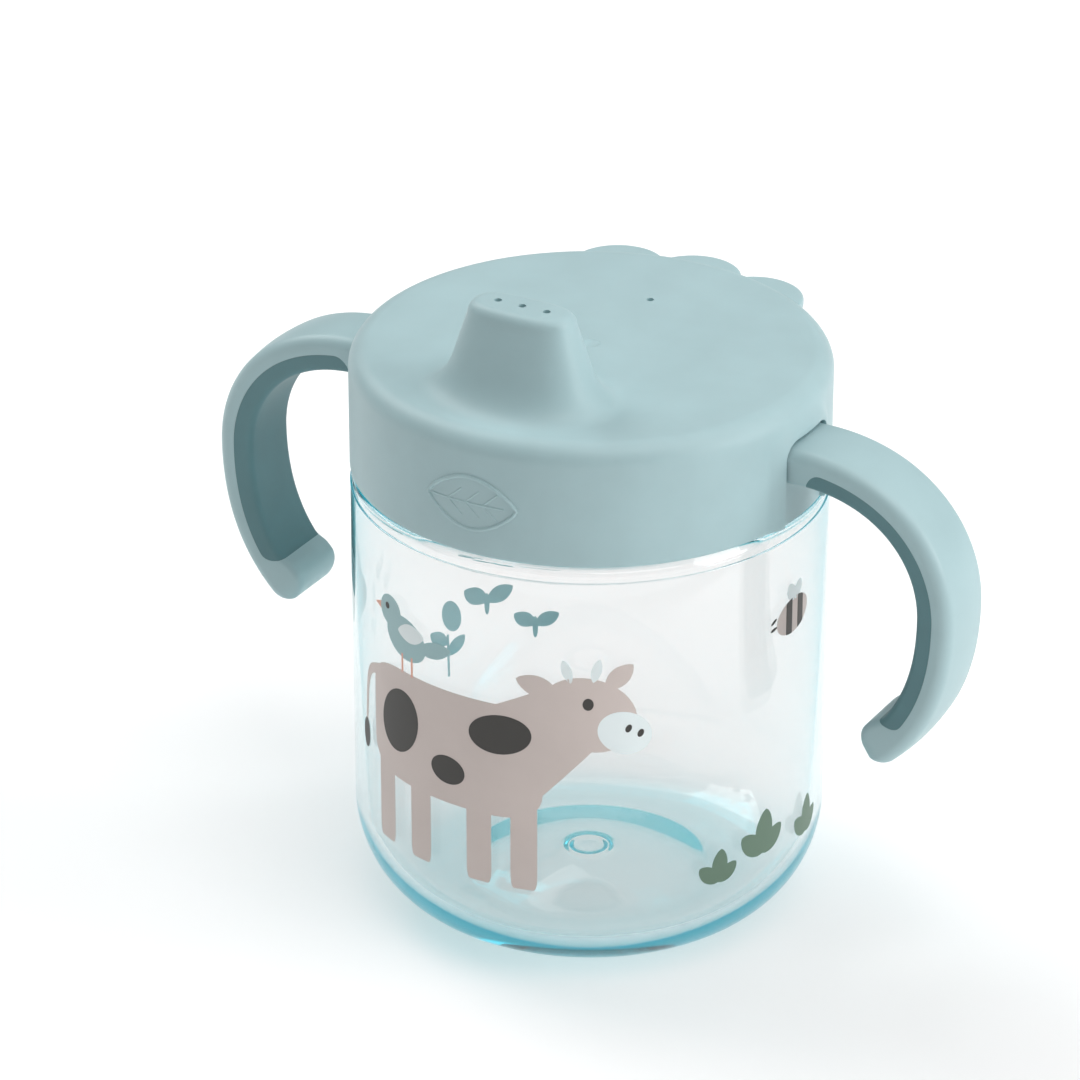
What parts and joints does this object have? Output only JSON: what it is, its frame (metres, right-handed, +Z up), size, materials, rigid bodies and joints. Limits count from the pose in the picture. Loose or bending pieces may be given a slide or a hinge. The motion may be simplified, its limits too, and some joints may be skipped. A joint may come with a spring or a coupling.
{
  "type": "sippy cup",
  "caption": "Toddler's clear sippy cup with open handles on a ring round its neck and a soft lid with a spout, an air vent and a pull tab.",
  "frame": {"origin": "on the cup's axis, in the plane that the cup stands on", "axes": "+Z up along the cup's axis, X through both handles, -Y towards the spout, +Y towards the pull tab"},
  "size_m": [0.1406, 0.0834, 0.116],
  "materials": {
    "clear_plastic": "polished clear plastic, faint blue-green tint",
    "handle_plastic": "smooth satin",
    "grip_rubber": "soft matte anti-slip",
    "lid_silicone": "soft satin silicone"
  },
  "bodies": {
    "cup": {"cup_body": "clear_plastic"},
    "handles": {"handle_ring": "handle_plastic", "grip_right": "grip_rubber", "grip_left": "grip_rubber"},
    "lid": {"spout_lid": "lid_silicone"}
  },
  "joints": [
    {"name": "handles_lift", "type": "slide", "parent": "cup", "child": "handles", "axis": [0, 0, 1], "range_m": [0, 0.025]},
    {"name": "lid_lift", "type": "slide", "parent": "handles", "child": "lid", "axis": [0, 0, 1], "range_m": [0, 0.03]}
  ]
}
